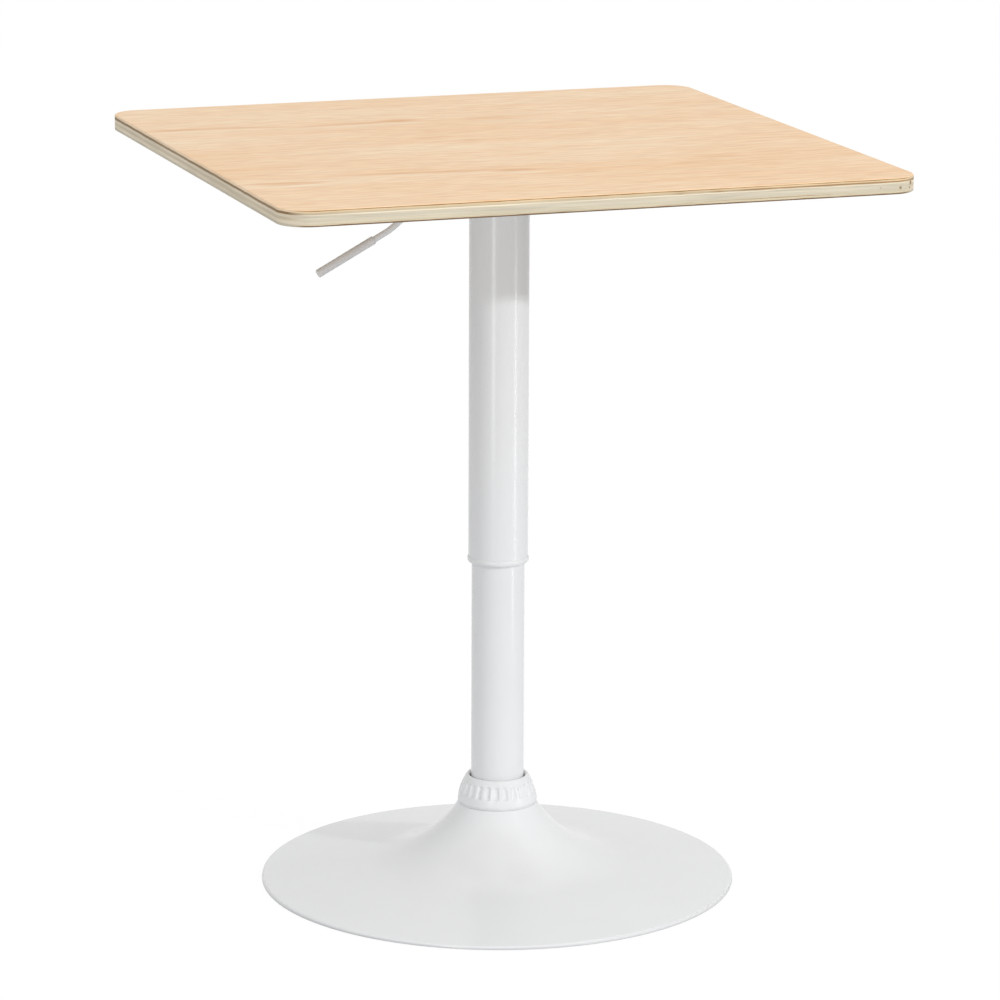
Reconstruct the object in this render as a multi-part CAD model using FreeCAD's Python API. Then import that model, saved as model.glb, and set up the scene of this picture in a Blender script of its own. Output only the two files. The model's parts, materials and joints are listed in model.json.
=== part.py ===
import FreeCAD, Part
import math
import os

# Gas-lift bar table: a square plywood top on a telescoping column and a trumpet base.
# Millimetres and degrees. The origin is on the floor under the column and +Z is up.
# The edges of the top lie along X and Y, and the release lever points along -X.
# Every piece is drawn with the table at its lowest setting.

# Whole table
table_height = 720.0
lift_stroke = 210.0

# Plywood top
top_side = 600.0
top_corner_radius = 28.0
upper_arris_radius = 1.4
lower_arris_radius = 0.7
top_veneer_thickness = 0.7
face_ply_thickness = 1.8
crossband_thickness = 1.6
core_ply_thickness = 2.8
bottom_veneer_thickness = 0.9

# Mount plate and its fasteners
plate_side = 180.0
plate_thickness = 3.0
plate_corner_radius = 14.0
screw_spacing = 140.0
screw_diameter = 6.0
screw_reach = 8.0
screw_head_diameter = 10.5
screw_head_height = 3.3
screw_head_round = 1.2
hex_socket_flats = 4.0
hex_socket_depth = 2.0
flat_washer_diameter = 14.0
flat_washer_thickness = 1.2
spring_washer_diameter = 10.2
spring_washer_thickness = 1.5
spring_washer_split = 1.0
insert_diameter = 9.0
insert_length = 10.0
insert_hole_spare = 0.4

# Lever housing and taper socket
housing_length = 84.0
housing_width = 66.0
housing_depth = 34.0
housing_wall = 2.0
housing_corner_radius = 9.0
housing_floor_round = 1.8
socket_length = 34.0
socket_wall = 4.0
socket_rise = 8.0

# Gas spring
cylinder_diameter = 28.0
cylinder_wall = 1.5
cylinder_rise = 3.0
neck_wall = 1.6
crimp_thickness = 1.5
crimp_width = 3.5
taper_angle = 1.43
inner_tube_diameter = 22.0
inner_tube_wall = 1.0
valve_length = 36.0
valve_seal_width = 3.0
valve_seal_depth = 2.0
rod_guide_length = 24.0
rod_seal_length = 7.0
rod_seal_wall = 3.5
rod_diameter = 10.0
piston_length = 16.0
piston_seal_width = 4.0
piston_seal_depth = 2.5
piston_spigot_diameter = 6.0
pin_diameter = 6.0
pin_length = 30.0
pin_rise = 7.0
pin_dome_radius = 5.0
pin_bore_spare = 6.0

# Release lever, its pivot and its grip
lever_angle = 8.0
lever_rod_diameter = 6.0
lever_straight_run = 52.0
lever_drop_angle = 38.9
lever_drop_run = 72.3
lever_outer_angle = 28.1
lever_outer_run = 79.1
lever_bend_radius = 20.0
lever_outer_bend_radius = 60.0
paddle_thickness = 4.0
paddle_width = 9.0
paddle_reach = 6.0
paddle_overlap = 12.0
boss_diameter = 10.0
boss_length = 14.0
pivot_diameter = 4.0
pivot_head_diameter = 7.0
pivot_head_thickness = 1.6
pivot_end = 1.2
pivot_groove_depth = 0.6
pivot_clip_diameter = 8.0
pivot_clip_thickness = 0.8
bracket_length = 18.0
bracket_thickness = 2.0
slot_clearance = 2.0
grip_diameter = 8.0
grip_start = 18.0
grip_cap = 1.5
grip_end_round = 1.2
grip_mouth_round = 0.5

# Shroud, the wide upper tube
shroud_diameter = 57.2
shroud_wall = 1.2
shroud_length = 351.0
centring_ring_height = 16.0
end_ring_floor = 1.0
end_ring_skirt = 4.6
end_ring_lip = 0.15
end_ring_bead = 0.95
end_ring_bead_height = 1.4
end_ring_under_width = 2.8
end_ring_sleeve = 10.0

# Lower tube, its guide bush and its foot
tube_diameter = 50.8
tube_wall = 1.5
tube_overhang = 8.0
bush_length = 46.0
bush_flange = 2.0
bush_top_gap = 8.0
foot_thickness = 4.0
foot_boss = 2.0
spigot_diameter = 8.0

# Thrust bearing, bump stop and the fastening under the foot
race_diameter = 22.0
race_thickness = 2.0
race_shaft_gap = 0.6
ball_diameter = 4.0
ball_count = 10
ball_circle_diameter = 15.2
cage_thickness = 1.8
cage_margin = 1.0
bump_stop_diameter = 21.0
bump_stop_height = 12.0
rod_washer_diameter = 18.0
rod_washer_thickness = 1.5
rod_clip_diameter = 14.0
rod_clip_thickness = 1.2
rod_clip_groove = 0.8
rod_end = 2.0

# Trumpet base, its hub and its floor ring
base_diameter = 457.0
sheet = 2.0
rim_height = 4.2
rim_round = 3.0
rim_lip_bottom = 1.0
dish_slope = 8.3
neck_slope = 57.0
neck_diameter = 77.2
neck_height = 76.5
neck_round = 3.2
hub_diameter = 58.0
hub_length = 40.0
floor_ring_width = 9.0
floor_ring_inset = 1.0

# Fluted collar on the neck of the base
collar_diameter = 76.8
collar_band = 3.0
collar_band_taper = 0.9
collar_dome_radius = 54.0
collar_dome_lean = 6.0
collar_lip_diameter = 61.4
collar_lip_crown = 1.9
collar_wall = 2.4
collar_foot_width = 6.0
collar_foot_thickness = 2.0
flute_count = 26
flute_radius = 4.1
flute_depth = 1.1
flute_low_angle = 17.4
flute_high_angle = 23.2

# Clearances: pieces fixed together, pieces that turn or slide in one another, and free gaps
fixed_fit = 0.05
running_fit = 0.05
thread_fit = 0.1
screw_hole_gap = 0.3
piston_gap = 0.15
seal_gap = 0.1
bush_gap = 0.1
end_ring_gap = 0.3
collar_gap = 1.2
shell_hole_gap = 0.6
end_gap = 1.0
lever_gap = 0.2
side_gap = 0.3
wall_gap = 1.0
ball_gap = 0.05
washer_gap = 0.2

# Levels, from the top of the table down to the lower end of the gas spring
top_thickness = (
    top_veneer_thickness
    + face_ply_thickness
    + 2 * crossband_thickness
    + 3 * core_ply_thickness
    + bottom_veneer_thickness
)
underside = table_height - top_thickness
plate_bottom = underside - plate_thickness
housing_bottom = plate_bottom - housing_depth
socket_top = housing_bottom + socket_rise
socket_bottom = socket_top - socket_length
cylinder_top = socket_top + cylinder_rise
valve_top = cylinder_top - crimp_thickness
valve_bottom = valve_top - valve_length
piston_top = valve_bottom - end_gap
piston_bottom = piston_top - piston_length
guide_top = piston_bottom - lift_stroke - end_gap
guide_bottom = guide_top - rod_guide_length
cylinder_bottom = guide_bottom - crimp_thickness
shroud_bottom = housing_bottom - shroud_length
bush_top = socket_bottom - bush_top_gap
tube_top = bush_top - bush_flange

# Levels, from the neck of the base down to the end of the piston rod and up to its shoulder
hub_top = neck_height - sheet
hub_bottom = hub_top - hub_length
tube_bottom = hub_bottom - tube_overhang
foot_bottom = tube_bottom - foot_thickness
foot_top = tube_bottom + foot_boss
lower_race_top = foot_top + race_thickness
ball_level = lower_race_top + ball_gap + ball_diameter / 2
upper_race_bottom = ball_level + ball_diameter / 2 + ball_gap
rod_shoulder = upper_race_bottom + race_thickness
rod_washer_top = foot_bottom - washer_gap
rod_clip_top = rod_washer_top - rod_washer_thickness
rod_bottom = rod_clip_top - rod_clip_thickness - rod_end

# Radii that several pieces share
cylinder_radius = cylinder_diameter / 2
cylinder_bore = cylinder_radius - cylinder_wall
taper_slope = math.tan(math.radians(taper_angle))
cylinder_top_radius = cylinder_radius - (cylinder_top - socket_bottom) * taper_slope
neck_bore = cylinder_top_radius - neck_wall
inner_bore = inner_tube_diameter / 2 - inner_tube_wall
socket_radius = cylinder_radius + socket_wall
rod_radius = rod_diameter / 2
spigot_radius = spigot_diameter / 2
pin_radius = pin_diameter / 2
screw_radius = screw_diameter / 2
shroud_radius = shroud_diameter / 2
shroud_bore = shroud_radius - shroud_wall
tube_radius = tube_diameter / 2
tube_bore = tube_radius - tube_wall
tube_foot_radius = tube_radius - (hub_top - tube_bottom) * taper_slope
base_radius = base_diameter / 2
neck_radius = neck_diameter / 2
collar_radius = collar_diameter / 2

# Places of the lever: its pivot stands as close to the housing's wall as the bracket allows
pivot_offset = housing_length / 2 - housing_wall - wall_gap - bracket_length / 2
pin_top = cylinder_top + pin_rise
lever_axis = pin_top + lever_gap + paddle_thickness / 2
lever_rod_radius = lever_rod_diameter / 2
pivot_radius = pivot_diameter / 2
ear_inner = boss_length / 2 + side_gap
ear_outer = ear_inner + bracket_thickness

origin = FreeCAD.Vector(0, 0, 0)
x_axis = FreeCAD.Vector(1, 0, 0)
y_axis = FreeCAD.Vector(0, 1, 0)
z_axis = FreeCAD.Vector(0, 0, 1)


def meridian(point):
    """A point (radius, height) in the plane y = 0."""
    return FreeCAD.Vector(point[0], 0, point[1])


def polar(centre, radius, angle):
    """The point at a radius and an angle, measured from the vertical towards +X."""
    turn = math.radians(angle)
    return (centre[0] + radius * math.sin(turn), centre[1] + radius * math.cos(turn))


def outline(start, *moves):
    """A closed face: a move is a point to draw a line to, or a pair (through, end) for an arc."""
    edges = []
    here = meridian(start)
    for move in moves + (start,):
        if isinstance(move[0], tuple):
            end = meridian(move[1])
            edges.append(Part.Arc(here, meridian(move[0]), end).toShape())
        else:
            end = meridian(move)
            edges.append(Part.makeLine(here, end))
        here = end
    return Part.Face(Part.Wire(edges))


def turned(start, *moves):
    """A solid turned about the column's axis."""
    return outline(start, *moves).revolve(origin, z_axis, 360)


def rod(radius, bottom, top):
    return Part.makeCylinder(radius, top - bottom, FreeCAD.Vector(0, 0, bottom))


def ring(inner, outer, bottom, top):
    return rod(outer, bottom, top).cut(rod(inner, bottom, top))


def block(x_range, y_range, z_range):
    corner = FreeCAD.Vector(x_range[0], y_range[0], z_range[0])
    size = [ends[1] - ends[0] for ends in (x_range, y_range, z_range)]
    return Part.makeBox(size[0], size[1], size[2], corner)


def rounded_block(length, width, radius, bottom, top):
    """A block centred on the axis with its four upright edges rounded."""
    half_length, half_width = length / 2, width / 2
    solid = block((-half_length, half_length), (-half_width, half_width), (bottom, top))
    upright = [edge for edge in solid.Edges if abs(edge.BoundBox.ZLength - (top - bottom)) < 1e-6]
    return solid.makeFillet(radius, upright)


def edges_at(solid, level):
    """The edges that lie flat at one height."""
    return [e for e in solid.Edges if abs(e.BoundBox.ZMin - level) < 1e-6 and e.BoundBox.ZLength < 1e-6]


def around(solid, count):
    """Copies of a solid spaced evenly about the column's axis."""
    copies = []
    for index in range(count):
        copy = solid.copy()
        copy.rotate(origin, z_axis, 360 * index / count)
        copies.append(copy)
    return copies


def at_screws(solid):
    """Copies of a solid at the four screws of the mount plate."""
    half = screw_spacing / 2
    return [solid.translated(FreeCAD.Vector(x, y, 0)) for x in (-half, half) for y in (-half, half)]


def export(node, *solids):
    shape = solids[0] if len(solids) == 1 else Part.makeCompound(list(solids))
    shape.exportStep(os.path.join("parts", node + ".step"))


def plywood_top():
    """The plies of the top, sliced from one slab so that the rounded arris runs through them."""
    slab = rounded_block(top_side, top_side, top_corner_radius, underside, table_height)
    slab = slab.makeFillet(upper_arris_radius, edges_at(slab, table_height))
    slab = slab.makeFillet(lower_arris_radius, edges_at(slab, underside))
    hole = rod(insert_diameter / 2 + fixed_fit, underside, underside + insert_length + insert_hole_spare)
    slab = slab.cut(at_screws(hole))
    plies = (
        ("top_veneer", top_veneer_thickness),
        ("face_ply", face_ply_thickness),
        ("upper_crossband", crossband_thickness),
        ("core_ply_upper", core_ply_thickness),
        ("core_ply_middle", core_ply_thickness),
        ("core_ply_lower", core_ply_thickness),
        ("lower_crossband", crossband_thickness),
        ("bottom_veneer", bottom_veneer_thickness),
    )
    half = top_side / 2
    level = table_height
    for node, thickness in plies:
        layer = block((-half, half), (-half, half), (level - thickness, level))
        export(node, slab.common(layer).Solids[0])
        level -= thickness


def mount_plate():
    plate = rounded_block(plate_side, plate_side, plate_corner_radius, plate_bottom, underside)
    holes = at_screws(rod(screw_radius + screw_hole_gap, plate_bottom, underside))
    export("mount_plate", plate.cut(holes))


def fasteners():
    """Inserts in the wood, and under the plate flat washers, split spring washers and screws."""
    insert = ring(screw_radius + thread_fit, insert_diameter / 2, underside, underside + insert_length)
    export("threaded_inserts", *at_screws(insert))

    flat_bottom = plate_bottom - flat_washer_thickness
    hole = screw_radius + screw_hole_gap
    export("flat_washers", *at_screws(ring(hole, flat_washer_diameter / 2, flat_bottom, plate_bottom)))

    spring_bottom = flat_bottom - spring_washer_thickness
    spring = ring(hole, spring_washer_diameter / 2, spring_bottom, flat_bottom)
    half_split = spring_washer_split / 2
    split = block((0, spring_washer_diameter), (-half_split, half_split), (spring_bottom, flat_bottom))
    export("spring_washers", *at_screws(spring.cut(split)))

    head_bottom = spring_bottom - screw_head_height
    head = rod(screw_head_diameter / 2, head_bottom, spring_bottom)
    head = head.makeFillet(screw_head_round, edges_at(head, head_bottom))
    corner_radius = hex_socket_flats / math.sqrt(3)
    corners = [polar((0, 0), corner_radius, 60 * index) for index in range(7)]
    hexagon = Part.makePolygon([FreeCAD.Vector(x, y, head_bottom) for x, y in corners])
    socket = Part.Face(hexagon).extrude(z_axis * hex_socket_depth)
    shank = rod(screw_radius, spring_bottom, underside + screw_reach)
    export("mount_screws", *at_screws(head.fuse(shank).cut(socket)))


def lever_housing():
    """A pressed steel box under the plate, open at the top, with a slot for the lever."""
    outer = rounded_block(
        housing_length, housing_width, housing_corner_radius, housing_bottom, plate_bottom
    )
    outer = outer.makeFillet(housing_floor_round, edges_at(outer, housing_bottom))
    inner = rounded_block(
        housing_length - 2 * housing_wall,
        housing_width - 2 * housing_wall,
        housing_corner_radius - housing_wall,
        housing_bottom + housing_wall,
        plate_bottom,
    )
    hole = rod(socket_radius + fixed_fit, housing_bottom, socket_top)
    rise = (housing_length / 2 - pivot_offset) * math.tan(math.radians(lever_angle))
    reach = lever_rod_radius + slot_clearance
    slot = block(
        (-housing_length / 2, -housing_length / 2 + housing_wall),
        (-reach, reach),
        (lever_axis - reach, lever_axis + reach + rise),
    )
    export("lever_housing", outer.cut([inner, hole, slot]))


def taper_socket():
    """The tube welded into the housing that the tapered end of the gas spring wedges into."""
    wide = cylinder_radius + fixed_fit
    narrow = wide - socket_length * taper_slope
    export("taper_socket", turned(
        (wide, socket_bottom),
        (socket_radius, socket_bottom),
        (socket_radius, socket_top),
        (narrow, socket_top),
    ))


def gas_spring_body():
    """The parts of the gas spring that rise with the top."""
    export("pressure_tube", turned(
        (cylinder_bore - crimp_width, cylinder_bottom),
        (cylinder_radius, cylinder_bottom),
        (cylinder_radius, socket_bottom),
        (cylinder_top_radius, cylinder_top),
        (neck_bore - crimp_width, cylinder_top),
        (neck_bore - crimp_width, valve_top),
        (neck_bore, valve_top),
        (neck_bore, valve_bottom),
        (cylinder_bore, valve_bottom),
        (cylinder_bore, guide_bottom),
        (cylinder_bore - crimp_width, guide_bottom),
    ))
    export("inner_tube", ring(inner_bore, inner_tube_diameter / 2, guide_top, valve_bottom))

    valve_radius = neck_bore - fixed_fit
    groove_radius = neck_bore - valve_seal_depth
    groove_bottom = (valve_top + valve_bottom - valve_seal_width) / 2
    groove_top = groove_bottom + valve_seal_width
    bore_bottom = pin_top - pin_length - pin_bore_spare
    valve = rod(valve_radius, valve_bottom, valve_top)
    groove = ring(groove_radius, neck_bore, groove_bottom, groove_top)
    bore = rod(pin_radius + running_fit, bore_bottom, valve_top)
    export("valve_body", valve.cut([groove, bore]))
    export("valve_seal", ring(groove_radius + fixed_fit, valve_radius, groove_bottom, groove_top))

    seal_radius = rod_radius + rod_seal_wall
    seal_bottom = guide_top - rod_seal_length
    guide = ring(rod_radius + running_fit, cylinder_bore - fixed_fit, guide_bottom, guide_top)
    export("rod_guide", guide.cut(rod(seal_radius, seal_bottom, guide_top)))
    export("rod_seal", ring(rod_radius + seal_gap, seal_radius - fixed_fit, seal_bottom, guide_top))


def release_pin():
    """The valve's push pin, with a domed head under the lever."""
    dome_height = pin_dome_radius - math.sqrt(pin_dome_radius ** 2 - pin_radius ** 2)
    shoulder = pin_top - dome_height
    dome_centre = (0, pin_top - pin_dome_radius)
    edge_angle = math.degrees(math.asin(pin_radius / pin_dome_radius))
    export("release_pin", turned(
        (0, pin_top - pin_length),
        (pin_radius, pin_top - pin_length),
        (pin_radius, shoulder),
        (polar(dome_centre, pin_dome_radius, edge_angle / 2), (0, pin_top)),
    ))


def piston_and_rod():
    """The rod that stands on the thrust bearing, with the piston and its seal at the upper end."""
    groove_radius = spigot_radius - rod_clip_groove
    groove_bottom = rod_clip_top - rod_clip_thickness
    piston_spigot = piston_spigot_diameter / 2
    export("piston_rod", turned(
        (0, rod_bottom),
        (spigot_radius, rod_bottom),
        (spigot_radius, groove_bottom),
        (groove_radius, groove_bottom),
        (groove_radius, rod_clip_top),
        (spigot_radius, rod_clip_top),
        (spigot_radius, rod_shoulder),
        (rod_radius, rod_shoulder),
        (rod_radius, piston_bottom),
        (piston_spigot, piston_bottom),
        (piston_spigot, piston_top),
        (0, piston_top),
    ))

    seal_bottom = (piston_top + piston_bottom - piston_seal_width) / 2
    seal_top = seal_bottom + piston_seal_width
    seal_floor = inner_bore - piston_seal_depth
    piston = ring(piston_spigot + fixed_fit, inner_bore - piston_gap, piston_bottom, piston_top)
    export("piston", piston.cut(ring(seal_floor, inner_bore, seal_bottom, seal_top)))
    export("piston_seal", ring(seal_floor + fixed_fit, inner_bore - seal_gap, seal_bottom, seal_top))


def split_ring(inner, outer, bottom, top, opening):
    """A spring clip: a flat ring with an opening along +X."""
    gap = block((0, outer), (-opening / 2, opening / 2), (bottom, top))
    return ring(inner, outer, bottom, top).cut(gap)


def rod_fastening():
    """The rubber bump stop on the rod, and the washer and clip that hold the rod under the foot."""
    bump_top = rod_shoulder + bump_stop_height
    export("bump_stop", ring(rod_radius + fixed_fit, bump_stop_diameter / 2, rod_shoulder, bump_top))
    export("rod_washer", ring(
        spigot_radius + fixed_fit, rod_washer_diameter / 2, rod_clip_top, rod_washer_top
    ))
    clip_bore = spigot_radius - rod_clip_groove + fixed_fit
    clip_bottom = rod_clip_top - rod_clip_thickness
    export("rod_clip", split_ring(
        clip_bore, rod_clip_diameter / 2, clip_bottom, rod_clip_top, 2 * clip_bore
    ))


def thrust_bearing():
    race_radius = race_diameter / 2
    ball_radius = ball_diameter / 2
    ball_circle = ball_circle_diameter / 2
    shaft_bore = spigot_radius + race_shaft_gap
    export("bearing_lower_race", ring(shaft_bore, race_radius, foot_top, lower_race_top))
    export("bearing_upper_race", ring(
        spigot_radius + fixed_fit, race_radius, upper_race_bottom, rod_shoulder
    ))
    place = FreeCAD.Vector(ball_circle, 0, ball_level)
    balls = around(Part.makeSphere(ball_radius, place), ball_count)
    export("bearing_balls", *balls)

    cage = ring(
        ball_circle - ball_radius - cage_margin,
        ball_circle + ball_radius + cage_margin,
        ball_level - cage_thickness / 2,
        ball_level + cage_thickness / 2,
    )
    pockets = around(Part.makeSphere(ball_radius + seal_gap, place), ball_count)
    export("bearing_cage", cage.cut(pockets))


def bent_path(points, radii):
    """A wire of straight runs in the plane y = 0, joined at each corner by a tangent arc."""
    places = [meridian(point) for point in points]
    edges = []
    here = places[0]
    for before, corner, after, radius in zip(places, places[1:], places[2:], radii):
        inward = (before - corner).normalize()
        outward = (after - corner).normalize()
        half_angle = inward.getAngle(outward) / 2
        reach = radius / math.tan(half_angle)
        bisector = (inward + outward).normalize()
        middle = corner + bisector * (radius / math.sin(half_angle) - radius)
        edges.append(Part.makeLine(here, corner + inward * reach))
        edges.append(Part.Arc(corner + inward * reach, middle, corner + outward * reach).toShape())
        here = corner + outward * reach
    edges.append(Part.makeLine(here, places[-1]))
    return Part.Wire(edges)


def lever_points():
    """The corners of the lever's centre line, from the paddle out to the end of the rod."""
    inner_end = (-paddle_overlap, lever_axis)
    first_bend = (-lever_straight_run, lever_axis)
    second_bend = polar(first_bend, -lever_drop_run, 90 - lever_drop_angle)
    outer_end = polar(second_bend, -lever_outer_run, 90 - lever_outer_angle)
    return inner_end, first_bend, second_bend, outer_end


def release_lever():
    """One bent rod with a flat paddle over the pin and a cross boss on the pivot."""
    points = lever_points()
    circle = Part.makeCircle(lever_rod_radius, meridian(points[0]), x_axis)
    path = bent_path(points, (lever_bend_radius, lever_outer_bend_radius))
    bent_rod = path.makePipeShell([Part.Wire(circle)], True, False)

    half_width = paddle_width / 2
    half_thickness = paddle_thickness / 2
    paddle = block(
        (-2 * paddle_overlap, paddle_reach - half_width),
        (-half_width, half_width),
        (lever_axis - half_thickness, lever_axis + half_thickness),
    )
    tip = Part.makeCylinder(
        half_width,
        paddle_thickness,
        FreeCAD.Vector(paddle_reach - half_width, 0, lever_axis - half_thickness),
    )
    boss = Part.makeCylinder(
        boss_diameter / 2, boss_length, FreeCAD.Vector(-pivot_offset, -boss_length / 2, lever_axis), y_axis
    )
    bore = Part.makeCylinder(
        pivot_radius + running_fit,
        boss_length,
        FreeCAD.Vector(-pivot_offset, -boss_length / 2, lever_axis),
        y_axis,
    )
    export("release_lever", bent_rod.fuse([paddle, tip, boss]).cut(bore).removeSplitter())


def lever_grip():
    """A plastic sleeve with a closed, rounded end, pushed onto the outer run of the rod."""
    second_bend, outer_end = lever_points()[2:]
    sleeve_length = lever_outer_run - grip_start
    bore = rod(lever_rod_radius + fixed_fit, 0, sleeve_length)
    sleeve = rod(grip_diameter / 2, 0, sleeve_length + grip_cap)
    sleeve = sleeve.makeFillet(grip_end_round, edges_at(sleeve, sleeve_length + grip_cap))
    sleeve = sleeve.makeFillet(grip_mouth_round, edges_at(sleeve, 0))
    sleeve = sleeve.cut(bore)
    along = (meridian(outer_end) - meridian(second_bend)).normalize()
    mouth = meridian(second_bend) + along * grip_start
    sleeve.Placement = FreeCAD.Placement(mouth, FreeCAD.Rotation(z_axis, along))
    export("lever_grip", sleeve)


def cross_pin(radius, start, end):
    """A cylinder along Y through the lever's pivot."""
    return Part.makeCylinder(radius, end - start, FreeCAD.Vector(-pivot_offset, start, lever_axis), y_axis)


def lever_pivot():
    """A bracket with two ears under the plate, and the headed pin with its clip."""
    half_length = bracket_length / 2
    ends = (-pivot_offset - half_length, -pivot_offset + half_length)
    web = block(ends, (-ear_outer, ear_outer), (plate_bottom - bracket_thickness, plate_bottom))
    ears = []
    for start in (-ear_outer, ear_inner):
        ears.append(block(ends, (start, start + bracket_thickness), (lever_axis, plate_bottom)))
        ears.append(cross_pin(half_length, start, start + bracket_thickness))
    bracket = web.fuse(ears).cut(cross_pin(pivot_radius + fixed_fit, -ear_outer, ear_outer))
    export("pivot_bracket", bracket.removeSplitter())

    clip_start = ear_outer + fixed_fit
    clip_end = clip_start + pivot_clip_thickness
    groove_radius = pivot_radius - pivot_groove_depth
    pin = cross_pin(pivot_radius, -ear_outer - pivot_head_thickness, clip_end + pivot_end)
    head = cross_pin(pivot_head_diameter / 2, -ear_outer - pivot_head_thickness, -ear_outer)
    groove = cross_pin(pivot_radius, clip_start, clip_end).cut(cross_pin(groove_radius, clip_start, clip_end))
    export("pivot_pin", pin.fuse(head).cut(groove))

    clip_radius = pivot_clip_diameter / 2
    clip_bore = groove_radius + fixed_fit
    clip = cross_pin(clip_radius, clip_start, clip_end).cut(cross_pin(clip_bore, clip_start, clip_end))
    opening = block(
        (-pivot_offset - clip_bore, -pivot_offset + clip_bore),
        (clip_start, clip_end),
        (lever_axis - clip_radius, lever_axis),
    )
    export("pivot_clip", clip.cut(opening))


def shroud():
    """The wide tube that hangs from the housing, with a ring at each end."""
    export("shroud_tube", ring(shroud_bore, shroud_radius, shroud_bottom, housing_bottom))
    export("shroud_centring_ring", ring(
        socket_radius + fixed_fit,
        shroud_bore - fixed_fit,
        housing_bottom - centring_ring_height,
        housing_bottom,
    ))
    inner = tube_radius + end_ring_gap
    outer = shroud_radius + fixed_fit
    ring_bottom = shroud_bottom - end_ring_floor
    ring_top = shroud_bottom + end_ring_skirt
    sleeve_top = shroud_bottom + end_ring_sleeve
    bead = (shroud_radius + end_ring_bead, shroud_bottom + end_ring_bead_height)
    export("shroud_end_ring", turned(
        (inner, ring_bottom),
        (inner + end_ring_under_width, ring_bottom),
        (bead, (outer + end_ring_lip, ring_top)),
        (outer, ring_top),
        (outer, shroud_bottom),
        (shroud_bore - fixed_fit, shroud_bottom),
        (shroud_bore - fixed_fit, sleeve_top),
        (inner, sleeve_top),
    ))


def lower_tube():
    """The narrow tube with its tapered lower end, its guide bush and its welded foot."""
    export("lower_tube", turned(
        (tube_foot_radius - tube_wall, tube_bottom),
        (tube_foot_radius, tube_bottom),
        (tube_radius, hub_top),
        (tube_radius, tube_top),
        (tube_bore, tube_top),
        (tube_bore, hub_top),
    ))
    bush_bore = cylinder_radius + bush_gap
    bush_radius = tube_bore - fixed_fit
    export("guide_bush", turned(
        (bush_bore, bush_top - bush_length),
        (bush_radius, bush_top - bush_length),
        (bush_radius, tube_top),
        (tube_radius, tube_top),
        (tube_radius, bush_top),
        (bush_bore, bush_top),
    ))
    boss_radius = tube_foot_radius - tube_wall - fixed_fit
    export("tube_foot", turned(
        (spigot_radius + running_fit, foot_bottom),
        (tube_foot_radius, foot_bottom),
        (tube_foot_radius, tube_bottom),
        (boss_radius, tube_bottom),
        (boss_radius, foot_top),
        (spigot_radius + running_fit, foot_top),
    ))


def dish_level(radius):
    """Height of the straight part of the base's upper face, carried on to any radius."""
    return rim_height + (base_radius - radius) * math.tan(math.radians(dish_slope))


def base_shell():
    """A pressed sheet: rolled rim, shallow dish, hollow flare up to the neck, and an inner flange."""
    dish = math.radians(dish_slope)
    neck = math.radians(neck_slope)
    neck_level = neck_height - neck_round * (1 - math.cos(neck))
    fall = neck_level - dish_level(neck_radius)
    spread = math.sin(neck) - math.sin(dish)
    flare_radius = fall / (math.cos(dish) - math.cos(neck) - spread * math.tan(dish))
    flare_centre = polar((neck_radius, neck_level), flare_radius, neck_slope)
    neck_centre = polar((neck_radius, neck_level), -neck_round, neck_slope)
    rim_centre_radius = base_radius - rim_round
    rim_centre = (rim_centre_radius, dish_level(rim_centre_radius) - rim_round / math.cos(dish))
    hole = tube_radius + shell_hole_gap
    half_neck = neck_slope / 2
    half_rim = (90 + dish_slope) / 2
    half_flare = (neck_slope + dish_slope) / 2

    inner_flare = flare_radius + sheet
    inner_neck = neck_round - sheet
    inner_rim = rim_round - sheet
    export("base_shell", turned(
        (base_radius, rim_lip_bottom),
        (base_radius, rim_centre[1]),
        (polar(rim_centre, rim_round, half_rim), polar(rim_centre, rim_round, dish_slope)),
        polar(flare_centre, -flare_radius, dish_slope),
        (polar(flare_centre, -flare_radius, half_flare), (neck_radius, neck_level)),
        (polar(neck_centre, neck_round, half_neck), polar(neck_centre, neck_round, 0)),
        (hole, neck_height),
        (hole, hub_top),
        polar(neck_centre, inner_neck, 0),
        (polar(neck_centre, inner_neck, half_neck), polar(neck_centre, inner_neck, neck_slope)),
        (polar(flare_centre, -inner_flare, half_flare), polar(flare_centre, -inner_flare, dish_slope)),
        polar(rim_centre, inner_rim, dish_slope),
        (polar(rim_centre, inner_rim, half_rim), (base_radius - sheet, rim_centre[1])),
        (base_radius - sheet, rim_lip_bottom),
    ))


def base_fittings():
    """The hub that the tapered tube wedges into, and the rubber ring under the rim."""
    wide = tube_radius + fixed_fit
    export("base_hub", turned(
        (wide - hub_length * taper_slope, hub_bottom),
        (hub_diameter / 2, hub_bottom),
        (hub_diameter / 2, hub_top),
        (wide, hub_top),
    ))
    outer = base_radius - sheet - floor_ring_inset
    inner = outer - floor_ring_width
    drop = sheet / math.cos(math.radians(dish_slope)) + fixed_fit
    export("floor_ring", turned(
        (inner, 0),
        (outer, 0),
        (outer, dish_level(outer) - drop),
        (inner, dish_level(inner) - drop),
    ))


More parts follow.
